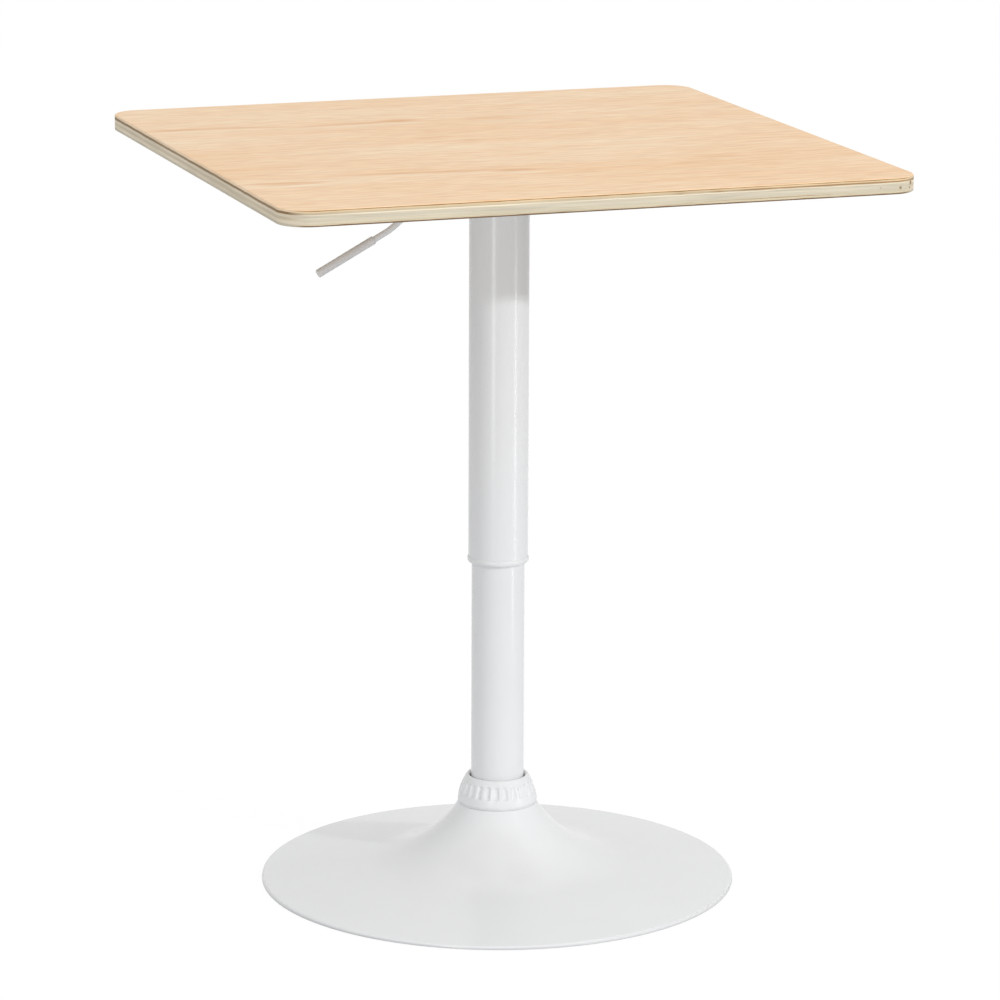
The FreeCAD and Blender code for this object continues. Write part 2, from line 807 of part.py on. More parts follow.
def base_collar():
    """The domed plastic collar that hides the joint between tube and neck, with flutes around it."""
    lip_inner = tube_radius + collar_gap
    lip_outer = collar_lip_diameter / 2
    band_top = neck_height + collar_band
    dome_start = 90 - collar_dome_lean
    dome_centre = polar((collar_radius, band_top), -collar_dome_radius, dome_start)
    inner_dome = collar_dome_radius - collar_wall
    lip_angle = math.degrees(math.asin((lip_outer - dome_centre[0]) / collar_dome_radius))
    lip_point = polar(dome_centre, collar_dome_radius, lip_angle)
    lip_bottom = lip_point[1] - collar_wall
    inner_angle = math.degrees(math.acos((lip_bottom - dome_centre[1]) / inner_dome))
    inner_start = polar(dome_centre, inner_dome, dome_start)
    foot_inner = collar_radius - collar_foot_width
    foot_top_level = neck_height + collar_foot_thickness
    collar = turned(
        (foot_inner, neck_height),
        (collar_radius - collar_band_taper, neck_height),
        ((collar_radius - collar_band_taper / 4, neck_height + collar_band / 2), (collar_radius, band_top)),
        (polar(dome_centre, collar_dome_radius, (dome_start + lip_angle) / 2), lip_point),
        (((lip_inner + lip_outer) / 2, lip_point[1] + collar_lip_crown), (lip_inner, lip_point[1])),
        (lip_inner, lip_bottom),
        polar(dome_centre, inner_dome, inner_angle),
        (polar(dome_centre, inner_dome, (dome_start + inner_angle) / 2), inner_start),
        (inner_start[0], foot_top_level),
        (foot_inner, foot_top_level),
    )
    path_radius = collar_dome_radius + flute_radius - flute_depth
    low = meridian(polar(dome_centre, path_radius, 90 - flute_low_angle))
    high = meridian(polar(dome_centre, path_radius, 90 - flute_high_angle))
    centre = meridian(dome_centre)
    section = Part.Face(Part.Wire(Part.makeCircle(flute_radius, low, y_axis.cross(low - centre))))
    groove = section.revolve(centre, -y_axis, flute_high_angle - flute_low_angle)
    ends = [Part.makeSphere(flute_radius, low), Part.makeSphere(flute_radius, high)]
    export("base_collar", collar.cut(around(groove.fuse(ends), flute_count)))


os.makedirs("parts", exist_ok=True)
plywood_top()
mount_plate()
fasteners()
lever_housing()
taper_socket()
gas_spring_body()
release_pin()
piston_and_rod()
rod_fastening()
thrust_bearing()
release_lever()
lever_grip()
lever_pivot()
shroud()
lower_tube()
base_shell()
base_fittings()
base_collar()
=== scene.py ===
# %% [markdown]
# # A gas-lift bar table
# The real table is a square plywood top on a white telescoping column, with a release lever under the
# top and a pressed steel trumpet base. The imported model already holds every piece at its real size, so
# this lesson loads it as a fixed frame and adds what the eye sees: wood, paint, plastic and light. All of
# it could be modelled again here, but then two sets of sizes would drift apart.

# %% Load the frame
import json
import math

import bpy
from mathutils import Euler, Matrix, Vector


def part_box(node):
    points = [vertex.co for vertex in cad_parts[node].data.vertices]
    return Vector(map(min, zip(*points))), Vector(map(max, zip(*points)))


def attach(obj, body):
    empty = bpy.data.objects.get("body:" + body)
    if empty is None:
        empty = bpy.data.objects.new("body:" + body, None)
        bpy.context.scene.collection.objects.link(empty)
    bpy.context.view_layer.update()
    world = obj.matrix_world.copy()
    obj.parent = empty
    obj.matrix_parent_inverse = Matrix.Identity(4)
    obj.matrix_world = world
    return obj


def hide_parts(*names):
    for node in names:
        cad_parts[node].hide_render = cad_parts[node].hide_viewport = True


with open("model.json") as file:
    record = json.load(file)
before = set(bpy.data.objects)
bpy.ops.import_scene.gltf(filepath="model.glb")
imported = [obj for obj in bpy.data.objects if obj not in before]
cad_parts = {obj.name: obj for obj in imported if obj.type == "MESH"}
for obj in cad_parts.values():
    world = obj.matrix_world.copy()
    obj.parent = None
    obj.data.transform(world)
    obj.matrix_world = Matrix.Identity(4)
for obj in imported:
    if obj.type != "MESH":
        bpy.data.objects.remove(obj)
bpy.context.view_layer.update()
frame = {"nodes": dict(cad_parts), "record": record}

nodes = frame["nodes"]

# %% [markdown]
# ## The camera
# A product photo is taken from far away with a long lens, so that upright edges stay nearly upright. The
# lens and place could be found by trying, but here they were worked out from the outlines of the top, the
# tubes and the base. Azimuths are measured from the front of the table, the -Y side, towards +X, and the
# same measure later places the lamps.

# %% Camera
mm = 0.001
camera_azimuth = -19.251
camera_pitch = 13.350
camera_roll = 0.222
camera_place = Vector((-1.45969, -4.18442, 1.427))
focal_pixels = 4770.3
frame_pixels = 1000
sensor_width = 36.0

camera_data = bpy.data.cameras.new("photo_camera")
camera_data.sensor_width = sensor_width
camera_data.lens = focal_pixels / frame_pixels * sensor_width
camera_data.clip_end = 100
camera = bpy.data.objects.new("photo_camera", camera_data)
bpy.context.scene.collection.objects.link(camera)
turn = Euler((0, 0, math.radians(camera_azimuth))).to_quaternion()
tilt = Euler((math.radians(90 - camera_pitch), 0, 0)).to_quaternion()
roll = Euler((0, 0, math.radians(camera_roll))).to_quaternion()
camera.rotation_mode = "QUATERNION"
camera.rotation_quaternion = turn @ tilt @ roll
camera.location = camera_place
bpy.context.scene.camera = camera
print("camera lens:", round(camera_data.lens, 1), "mm")

# %% [markdown]
# ## Two small helpers
# Every material and every geometry tree below is built from nodes. One function adds a node, sets its
# options and fills its inputs, either with a value or with a link from another node. Another turns a hex
# colour, as a paint card gives it, into the linear numbers that the renderer calculates with.

# %% Helpers for nodes and colours
def add_node(tree, kind, inputs=None, **options):
    """Adds one node, sets its options and fills its inputs with values or links."""
    made = tree.nodes.new(kind)
    for option, value in options.items():
        setattr(made, option, value)
    for socket, value in (inputs or {}).items():
        if isinstance(value, bpy.types.NodeSocket):
            tree.links.new(value, made.inputs[socket])
        else:
            made.inputs[socket].default_value = value
    return made


def linear(hex_colour):
    """An sRGB hex colour as linear red, green, blue and a full alpha."""
    shares = [int(hex_colour[i:i + 2], 16) / 255 for i in (0, 2, 4)]
    return tuple(s / 12.92 if s <= 0.04045 else ((s + 0.055) / 1.055) ** 2.4 for s in shares) + (1.0,)


print("mid grey in linear light:", round(linear("808080")[0], 3))

# %% [markdown]
# ## Floor and surroundings
# The photo has a pure white ground. More light would bleach the table, so the floor and the world show
# plain white only to rays that come from the camera, from a reflection or through glass, and light the
# table at an ordinary level. The floor keeps a little of its own shading, so the shadow stays on it.

# %% Helper for the white ground
def white_when_seen(tree, lighting, white):
    """One shader lights the table, and the other is for rays from the camera, a reflection or glass."""
    ray = add_node(tree, "ShaderNodeLightPath").outputs
    seen = ray["Is Camera Ray"]
    for kind in ("Is Glossy Ray", "Is Transmission Ray"):
        seen = add_node(tree, "ShaderNodeMath", {0: seen, 1: ray[kind]}, operation="MAXIMUM").outputs[0]
    return add_node(tree, "ShaderNodeMixShader", {
        0: seen, 1: lighting.outputs[0], 2: white.outputs[0],
    }).outputs[0]


print("plain white in linear light:", linear("FFFFFF")[0])

# %% World
world = bpy.data.worlds.new("white_studio")
bpy.context.scene.world = world
world.use_nodes = True
sky = world.node_tree
sky.nodes.clear()
horizon_colour = linear("B2B3B5")
zenith_colour = linear("F7F8F9")
direction = add_node(sky, "ShaderNodeTexCoord").outputs["Generated"]
height = add_node(sky, "ShaderNodeSeparateXYZ", {0: direction}).outputs["Z"]
gradient = add_node(sky, "ShaderNodeMix", {
    0: height, 6: horizon_colour, 7: zenith_colour,
}, data_type="RGBA")
glow = add_node(sky, "ShaderNodeBackground", {"Color": gradient.outputs[2], "Strength": 1.0})
plain_white = add_node(sky, "ShaderNodeBackground", {"Color": linear("FFFFFF"), "Strength": 1.0})
add_node(sky, "ShaderNodeOutputWorld", {"Surface": white_when_seen(sky, glow, plain_white)})
print("world nodes:", len(sky.nodes))

# %% Floor
floor_half = 20.0
floor_mesh = bpy.data.meshes.new("studio_floor")
corners = [(x * floor_half, y * floor_half, 0) for x, y in ((-1, -1), (1, -1), (1, 1), (-1, 1))]
floor_mesh.from_pydata(corners, [], [(0, 1, 2, 3)])
floor = bpy.data.objects.new("studio_floor", floor_mesh)
bpy.context.scene.collection.objects.link(floor)

floor_paper = bpy.data.materials.new("white_paper_floor")
floor_paper.use_nodes = True
paper = floor_paper.node_tree
paper.nodes.clear()
matt = add_node(paper, "ShaderNodeBsdfDiffuse", {"Color": linear("BBBBBC")})
faint_matt = add_node(paper, "ShaderNodeBsdfDiffuse", {"Color": linear("484848")})
white = add_node(paper, "ShaderNodeEmission", {"Color": linear("FFFFFF"), "Strength": 0.95})
bright = add_node(paper, "ShaderNodeAddShader", {0: white.outputs[0], 1: faint_matt.outputs[0]})
add_node(paper, "ShaderNodeOutputMaterial", {"Surface": white_when_seen(paper, matt, bright)})
floor_mesh.materials.append(floor_paper)
print("floor:", 2 * floor_half, "m square")

# %% [markdown]
# ## Lamps
# The photo's shadows tell where its lamps stood. The top throws a shadow on the column that ends 140 mm
# below it, and the column throws one across the base to the back left: one small lamp, low on the right.
# Large soft ones on both sides keep the shaded parts pale. Two thin bright lines on the tubes are mirrored
# strip lamps. A tube mirrors what stands low in front of it, because the camera looks down on it, so the
# strips reach down nearly to the floor, and the right one is short, because its line fades out under the
# top. A faint lamp high on the right gives the neck of the base a glint. These three are hidden from plain
# surfaces, which have light enough.

# %% Lamps
column_middle = Vector((0, 0, 0.4))
tilted_above = 1.5


def lamp(name, azimuth, distance, height, size, watts, mirrored=False):
    """An area lamp that faces the column. Either gloss mirrors it, or plain surfaces take its light."""
    data = bpy.data.lights.new(name, "AREA")
    data.shape = "RECTANGLE"
    data.size, data.size_y = size
    data.energy = watts
    made = bpy.data.objects.new(name, data)
    bpy.context.scene.collection.objects.link(made)
    angle = math.radians(azimuth)
    made.location = (distance * math.sin(angle), -distance * math.cos(angle), height)
    aim = column_middle if height > tilted_above else Vector((0, 0, height))
    made.rotation_euler = (aim - made.location).to_track_quat("-Z", "Y").to_euler()
    made.visible_camera = False
    made.visible_glossy = mirrored
    made.visible_diffuse = not mirrored


shaded_level = 0.64
key_elevation = 21.3
key_distance = 5.0
key_height = shaded_level + key_distance * math.tan(math.radians(key_elevation))
# For each lamp: azimuth in degrees, distance, height, width and height of its face in m, and watts.
lamp("key_lamp", 31.8, key_distance, key_height, (0.16, 0.16), 92)
lamp("left_fill_lamp", -32, 4.0, 0.85, (1.2, 1.0), 31)
lamp("right_fill_lamp", 52, 4.0, 0.85, (1.0, 1.0), 7)
lamp("left_strip_lamp", -39.5, 1.7, 0.65, (0.30, 1.2), 3.9, mirrored=True)
lamp("right_strip_lamp", 47.2, 0.9, 0.245, (0.08, 0.46), 0.65, mirrored=True)
lamp("glint_lamp", 43, 2.5, 2.9, (0.3, 0.3), 1, mirrored=True)

# %% [markdown]
# ## Starting a material
# A finish is named for the real material and how its surface was made. Each one starts as a Principled
# shader with constant values for what is the same all over, and then gets patterns in object coordinates.
# These are metres in the table's own frame, so a pattern's size can be written in millimetres.

# %% Helpers for materials
def start_material(name, constants):
    """A new material with its node tree and its Principled shader, whose constant sockets are set."""
    material = bpy.data.materials.new(name)
    material.use_nodes = True
    tree = material.node_tree
    shader = tree.nodes["Principled BSDF"]
    for socket, value in constants.items():
        shader.inputs[socket].default_value = value
    return material, tree, shader


def per_mm(x, y, z):
    """The scale that makes a pattern this many millimetres long along each axis."""
    return (1 / (x * mm), 1 / (y * mm), 1 / (z * mm))


def fill(tree, shader, links):
    """Links outputs to the sockets of a shader."""
    for socket, output in links.items():
        tree.links.new(output, shader.inputs[socket])


def noise_layers(tree, place, layers):
    """Noise for each layer: its name, its size along X, Y and Z in mm, its detail and its own offset."""
    made = {}
    for layer, size, detail, offset in layers:
        moved = add_node(tree, "ShaderNodeMapping", {
            "Vector": place, "Location": (offset, offset, offset), "Scale": per_mm(*size),
        })
        made[layer] = add_node(tree, "ShaderNodeTexNoise", {
            "Vector": moved.outputs[0], "Scale": 1.0, "Detail": detail,
        }).outputs["Fac"]
    return made


print("one millimetre pattern scale:", per_mm(1, 1, 1))

# %% [markdown]
# ## Beech veneer under satin lacquer
# The face is a sliced veneer, 0.7 mm thick, with its fibres along the front edge. Slicing gives long fine
# lines, and a few deeper orange streaks with a paler line beside them where the knife ran along a growth
# ring. A picture of wood would repeat and have a fixed sharpness. Noise that is stretched along the fibres
# does not, and each layer of it has the size of one feature. The few large streaks are listed one by one.

# %% Veneer streaks
# Each streak: X and Y of its middle, half its length and width in mm, its tilt in degrees, its strength.
face_streaks = (
    (-265, 163, 42, 8, -2, 0.85),
    (-215, 161, 75, 6, -8, 0.6),
    (-91, 153, 72, 8, 3, 0.75),
    (-52, 157, 30, 10, 1, 1.0),
    (41, 150, 36, 12, 0, 0.4),
    (-260, -161, 47, 8, -5, 0.8),
    (-243, -167, 48, 6, 2, 0.6),
    (-118, -141, 115, 8, -5, 0.8),
    (-37, -152, 32, 9, -3, 0.9),
    (260, 157, 24, 7, 12, 0.4),
    (290, 141, 16, 7, 10, 0.35),
    (127, -161, 22, 7, 3, 0.4),
    (169, -139, 27, 7, -1, 0.45),
)
face_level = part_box("top_veneer")[1][2]
print("streaks:", len(face_streaks), "on the face at", round(face_level, 4), "m")

# %% Veneer grain
ring_spacing = 12
ring_bend = 40.0
ring_share = 0.05
grain_shares = {"line": 0.65, "fibre": 0.45, "band": 0.48, "broad": 0.5}
grain_spread = 0.26
# Factors for red, green and blue: a dark dash turns more orange and a light one paler.
dash_dark = (0.93, 0.88, 0.83)
dash_light = (1.06, 1.09, 1.13)


def veneer_grain(tree, place, layers, pale, deep):
    """The face colour of a veneer: bent growth rings, lines, fibres and bands, and dashes over them."""
    across = add_node(tree, "ShaderNodeSeparateXYZ", {0: place}).outputs["Y"]
    turns = add_node(tree, "ShaderNodeMath", {
        0: across, 1: 2 * math.pi / (ring_spacing * mm),
    }, operation="MULTIPLY")
    bent = add_node(tree, "ShaderNodeMath", {
        0: layers["bend"], 1: ring_bend, 2: turns.outputs[0],
    }, operation="MULTIPLY_ADD")
    rings = add_node(tree, "ShaderNodeMath", {0: bent.outputs[0]}, operation="SINE")
    tone = add_node(tree, "ShaderNodeMath", {
        0: rings.outputs[0], 1: ring_share,
    }, operation="MULTIPLY").outputs[0]
    for layer, share in grain_shares.items():
        tone = add_node(tree, "ShaderNodeMath", {
            0: layers[layer], 1: share, 2: tone,
        }, operation="MULTIPLY_ADD").outputs[0]
    middle = sum(grain_shares.values()) / 2
    grain = add_node(tree, "ShaderNodeMapRange", {
        0: tone, 1: middle - grain_spread, 2: middle + grain_spread,
    })
    face = add_node(tree, "ShaderNodeMix", {
        0: grain.outputs[0], 6: linear(pale), 7: linear(deep),
    }, data_type="RGBA").outputs[2]
    dashes = add_node(tree, "ShaderNodeMapRange", {
        "Vector": layers["dash"], "From Min": (0.3, 0.3, 0.3), "From Max": (0.7, 0.7, 0.7),
        "To Min": dash_dark, "To Max": dash_light,
    }, data_type="FLOAT_VECTOR")
    return add_node(tree, "ShaderNodeVectorMath", {
        0: face, 1: dashes.outputs["Vector"],
    }, operation="MULTIPLY").outputs[0]


print("growth rings every", ring_spacing, "mm")

# %% Veneer streaks over the grain
line_waver = 5
band_waver = 14
pale_colour = "FDEBD2"
pale_share = 0.6
deep_colour = "E8B074"


def streaked(tree, place, layers, streaks, face):
    """The face colour with chance streaks, then the placed ones, each with a paler line in front of it."""
    deep = add_node(tree, "ShaderNodeMapRange", {0: layers["streak"], 1: 0.68, 2: 0.9, 4: 0.5}).outputs[0]
    pale = add_node(tree, "ShaderNodeMapRange", {0: layers["streak"], 1: 0.34, 2: 0.15, 4: 0.5}).outputs[0]
    waver = add_node(tree, "ShaderNodeMath", {
        0: layers["line"], 1: line_waver * mm, 2: -line_waver / 2 * mm,
    }, operation="MULTIPLY_ADD")
    waver = add_node(tree, "ShaderNodeMath", {
        0: layers["band"], 1: band_waver * mm, 2: waver.outputs[0],
    }, operation="MULTIPLY_ADD")
    waver = add_node(tree, "ShaderNodeCombineXYZ", {"Y": waver.outputs[0]})
    ragged = add_node(tree, "ShaderNodeVectorMath", {0: place, 1: waver.outputs[0]}, operation="ADD")
    for x, y, half_length, half_width, tilt, strength in streaks:
        shares = []
        for drop, width in ((0, half_width), (1.4 * half_width + 2.5, 0.5 * half_width)):
            near = add_node(tree, "ShaderNodeMapping", {
                "Vector": ragged.outputs[0],
                "Location": (x * mm, (y - drop + band_waver / 2) * mm, face_level),
                "Rotation": (0, 0, math.radians(tilt)), "Scale": (half_length * mm, width * mm, 1.0),
            }, vector_type="TEXTURE")
            far = add_node(tree, "ShaderNodeVectorMath", {0: near.outputs[0]}, operation="LENGTH")
            shares.append(add_node(tree, "ShaderNodeMapRange", {
                0: far.outputs["Value"], 1: 1.0, 2: 0.3, 3: 0.0, 4: strength,
            }).outputs[0])
        deep = add_node(tree, "ShaderNodeMath", {0: deep, 1: shares[0]}, operation="MAXIMUM").outputs[0]
        pale = add_node(tree, "ShaderNodeMath", {0: pale, 1: shares[1]}, operation="MAXIMUM").outputs[0]
    pale = add_node(tree, "ShaderNodeMath", {0: pale, 1: pale_share}, operation="MULTIPLY").outputs[0]
    face = add_node(tree, "ShaderNodeMix", {
        0: pale, 6: face, 7: linear(pale_colour),
    }, data_type="RGBA").outputs[2]
    return add_node(tree, "ShaderNodeMix", {
        0: deep, 6: face, 7: linear(deep_colour),
    }, data_type="RGBA").outputs[2]


print("streaks waver by up to", line_waver + band_waver, "mm")


# %% Veneer material
def lacquered_veneer(name, face_colours, front_edge, end_edge, edge_range, streaks):
    """Veneer with fibres along X: colours of its face and its cut edge, which also hold painted light,
    where the edge starts, and streaks.
    """
    material, tree, shader = start_material(name, {
        "IOR": 1.5, "Specular IOR Level": 0.35, "Coat Weight": 0.1, "Coat Roughness": 0.3,
    })
    source = add_node(tree, "ShaderNodeTexCoord").outputs
    # Fibres of 0.9 mm are real. Dashes and lines are bundles of them, as coarse as a distant view needs.
    layers = noise_layers(tree, source["Object"], (
        ("fibre", (35, 0.9, 0.9), 3, 2.0),
        ("dash", (24, 2.6, 2.6), 1, 6.4),
        ("line", (75, 3.8, 3.8), 3, 7.3),
        ("band", (260, 30, 30), 2, 1.7),
        ("streak", (260, 9, 9), 3, 3.1),
        ("broad", (500, 130, 130), 1, 5.9),
        ("bend", (340, 150, 150), 1, 9.2),
    ))
    face = veneer_grain(tree, source["Object"], layers, *face_colours)
    face = streaked(tree, source["Object"], layers, streaks, face)
    facing = add_node(tree, "ShaderNodeSeparateXYZ", {0: source["Normal"]}).outputs
    sideways = add_node(tree, "ShaderNodeMath", {0: facing["X"]}, operation="ABSOLUTE")
    flat = add_node(tree, "ShaderNodeMath", {0: facing["Z"]}, operation="ABSOLUTE")
    end = add_node(tree, "ShaderNodeMapRange", {0: sideways.outputs[0], 1: 0.35, 2: 0.6})
    # The edge colours are partly the cut veneer's own colour and partly painted light on the arris.
    edge = add_node(tree, "ShaderNodeMix", {
        0: end.outputs[0], 6: linear(front_edge), 7: linear(end_edge),
    }, data_type="RGBA")
    side = add_node(tree, "ShaderNodeMapRange", {0: flat.outputs[0], 1: edge_range[0], 2: edge_range[1]})
    face_edges_and_painted_light = add_node(tree, "ShaderNodeMix", {
        0: side.outputs[0], 6: face, 7: edge.outputs[2],
    }, data_type="RGBA")
    gloss = add_node(tree, "ShaderNodeMapRange", {0: layers["fibre"], 1: 0.2, 2: 0.8, 3: 0.4, 4: 0.55})
    relief = add_node(tree, "ShaderNodeBump", {
        "Height": layers["fibre"], "Strength": 0.25, "Distance": 0.03 * mm,
    })
    fill(tree, shader, {
        "Base Color": face_edges_and_painted_light.outputs[2], "Roughness": gloss.outputs[0], "Normal": relief.outputs[0],
    })
    return material


# The face veneer's pale end edges are partly a painted highlight, where the arris catches light from above.
face_veneer = lacquered_veneer(
    "beech_veneer_satin_lacquer", ("FDE2BD", "F5C58F"), "DECBA6", "F6E0C4", (0.55, 0.15), face_streaks)
# The backing veneer's dark front edge is partly its own colour and partly painted shade, where its arris
# faces down.
back_veneer = lacquered_veneer(
    "plain_backing_veneer", ("DBC6A6", "CAB08B"), "6B5138", "C8BCA4", (0.97, 0.85), ())
print("veneers:", face_veneer.name, back_veneer.name)

# %% [markdown]
# ## Plywood edge
# The edge of plywood shows each layer from its side or from its end, and those take the lacquer
# differently, so a layer changes its look round a corner. The direction that a face points in tells the
# material which of the two it is. Glue soaks out as thin brown lines that come and go along the edge, and
# small pits are left where a fibre tore. Painting these by hand would fix them to one size of picture.

# %% Stains and pits of a ply
level_wander = 1.2
end_wander = 160
end_fade = 30
pit_waver = 2
pit_colour = "91724A"


def stained(tree, place, wander, faces, stains, cut):
    """A ply's colour with its stains, which wander in height and in where they end."""
    axes = add_node(tree, "ShaderNodeSeparateXYZ", {0: place}).outputs
    level = add_node(tree, "ShaderNodeMath", {
        0: wander, 1: level_wander * mm, 2: axes["Z"],
    }, operation="MULTIPLY_ADD").outputs[0]
    along = add_node(tree, "ShaderNodeMath", {
        0: wander, 1: end_wander * mm, 2: axes["X"],
    }, operation="MULTIPLY_ADD").outputs[0]
    for stain_level, half, colour, face, middle, reach in stains:
        share = faces[face]
        for value, centre, outer, inner in (
            (level, stain_level + level_wander / 2, half + 0.15, half - 0.1),
            (along, middle + end_wander / 2, reach + end_fade, reach - end_fade),
        ):
            gap = add_node(tree, "ShaderNodeMath", {0: value, 1: centre * mm}, operation="SUBTRACT")
            gap = add_node(tree, "ShaderNodeMath", {0: gap.outputs[0]}, operation="ABSOLUTE")
            near = add_node(tree, "ShaderNodeMapRange", {0: gap.outputs[0], 1: outer * mm, 2: inner * mm})
            share = add_node(tree, "ShaderNodeMath", {
                0: share, 1: near.outputs[0],
            }, operation="MULTIPLY").outputs[0]
        cut = add_node(tree, "ShaderNodeMix", {
            0: share, 6: cut, 7: linear(colour),
        }, data_type="RGBA").outputs[2]
    return cut


def pitted(tree, place, fleck, pits, cut):
    """A ply's colour with its pits, whose borders are ragged."""
    for x, y, z, radius in pits:
        gap = add_node(tree, "ShaderNodeVectorMath", {
            0: place, 1: (x * mm, y * mm, z * mm),
        }, operation="DISTANCE")
        ragged = add_node(tree, "ShaderNodeMath", {
            0: fleck, 1: pit_waver * mm, 2: gap.outputs["Value"],
        }, operation="MULTIPLY_ADD")
        hole = add_node(tree, "ShaderNodeMapRange", {
            0: ragged.outputs[0], 1: 1.3 * radius * mm, 2: 0.6 * radius * mm,
        })
        cut = add_node(tree, "ShaderNodeMix", {
            0: hole.outputs[0], 6: cut, 7: linear(pit_colour),
        }, data_type="RGBA").outputs[2]
    return cut


print("stains wander by", level_wander, "mm in height and", end_wander, "mm along the edge")


# %% Ply materials
def ply_edge(name, front_colour, end_colour, stains=(), pits=()):
    """One layer of plywood: its colours on the front and end faces, its stains, and its pits."""
    material, tree, shader = start_material(name, {"IOR": 1.5, "Specular IOR Level": 0.3})
    source = add_node(tree, "ShaderNodeTexCoord").outputs
    # Cut fibres are 0.1 mm wide. The flecks are drawn five times as coarse so that they show.
    layers = noise_layers(tree, source["Object"], (
        ("streak", (55, 55, 0.7), 3, 4.4),
        ("fleck", (0.5, 0.5, 0.5), 2, 1.3),
        ("patch", (85, 85, 4), 2, 8.1),
        ("wander", (24, 24, 24), 2, 3.6),
    ))

    facing = add_node(tree, "ShaderNodeSeparateXYZ", {0: source["Normal"]}).outputs["X"]
    facing = add_node(tree, "ShaderNodeMath", {0: facing}, operation="ABSOLUTE")
    end = add_node(tree, "ShaderNodeMapRange", {0: facing.outputs[0], 1: 0.35, 2: 0.8}).outputs[0]
    front = add_node(tree, "ShaderNodeMath", {0: 1.0, 1: end}, operation="SUBTRACT").outputs[0]
    cut = add_node(tree, "ShaderNodeMix", {
        0: end, 6: linear(front_colour), 7: linear(end_colour),
    }, data_type="RGBA").outputs[2]
    cut = stained(tree, source["Object"], layers["wander"], {"end": end, "front": front}, stains, cut)
    cut = pitted(tree, source["Object"], layers["fleck"], pits, cut)
    shade = add_node(tree, "ShaderNodeMath", {
        0: layers["streak"], 1: layers["patch"],
    }, operation="MULTIPLY")
    shade = add_node(tree, "ShaderNodeMapRange", {0: shade.outputs[0], 1: 0.12, 2: 0.4, 3: 1.12, 4: 0.84})
    toned = add_node(tree, "ShaderNodeVectorMath", {0: cut, 1: shade.outputs[0]}, operation="MULTIPLY")
    holes = add_node(tree, "ShaderNodeMapRange", {0: layers["fleck"], 1: 0.62, 2: 0.75, 3: 1.0, 4: 0.8})
    toned = add_node(tree, "ShaderNodeVectorMath", {
        0: toned.outputs[0], 1: holes.outputs[0],
    }, operation="MULTIPLY")
    relief = add_node(tree, "ShaderNodeBump", {
        "Height": layers["fleck"], "Strength": 0.4, "Distance": 0.05 * mm,
    })
    gloss = add_node(tree, "ShaderNodeMapRange", {0: layers["patch"], 1: 0.3, 2: 0.7, 3: 0.5, 4: 0.65})
    fill(tree, shader, {
        "Base Color": toned.outputs[0], "Roughness": gloss.outputs[0], "Normal": relief.outputs[0],
    })
    return material


# Each stain: its level and half height, its colour, its face, and its middle and reach along X, in mm.
# Each pit: its place and radius in mm.
everywhere = (0, 900)
dark_band = (716.65, 1.1, "987B54", "end", *everywhere)
core_pits = (
    (290.0, -293.4, 714.2, 2.9),
    (288.7, -294.5, 709.8, 2.0),
    (277.6, -299.4, 710.9, 2.3),
    (258.0, -300.0, 711.7, 1.4),
)
plies = {
    # The face ply's pale end colour is partly a painted highlight of the lit arris above it.
    "face_ply": ply_edge("birch_face_ply", "E5CBA4", "F1DABC", (
        (719.1, 0.42, "95734C", "front", *everywhere),
        dark_band,
    )),
    "upper_crossband": ply_edge("brown_crossband_ply", "D2BF9F", "EBD5B6", (
        (716.9, 0.7, "AE8B62", "front", 280, 180),
        dark_band,
    )),
    "core_ply_upper": ply_edge("birch_upper_core_ply", "D5CAB3", "EADCC4", (
        (715.3, 0.4, "F0E4CC", "front", *everywhere),
        dark_band,
    ), core_pits),
    "core_ply_middle": ply_edge("birch_middle_core_ply", "D7CDB7", "D8C9AD", (), core_pits),
    "core_ply_lower": ply_edge("birch_lower_core_ply", "D5CAB1", "EADCC3", (
        (708.3, 0.25, "AE8B60", "front", 150, 50),
    ), core_pits),
    "lower_crossband": ply_edge("birch_lower_crossband_ply", "D2C4A8", "D6CBB6", (
        (705.9, 0.4, "8A6D4C", "front", *everywhere),
    )),
}
print("plies:", [made.name for made in plies.values()])

# %% [markdown]
# ## White powder coat on steel
# Tubes, base, plate and lever are steel, sprayed with dry powder and baked. The powder melts into a
# thick gloss film with a fine waviness, like the skin of an orange. That waviness is what keeps its
# reflections from looking like a mirror's, so it is in the bump, and the gloss varies a little as well.

# %% Powder coat material
peel_size = 2
cloud_size = 70
darkest_rim_shade = 0.76


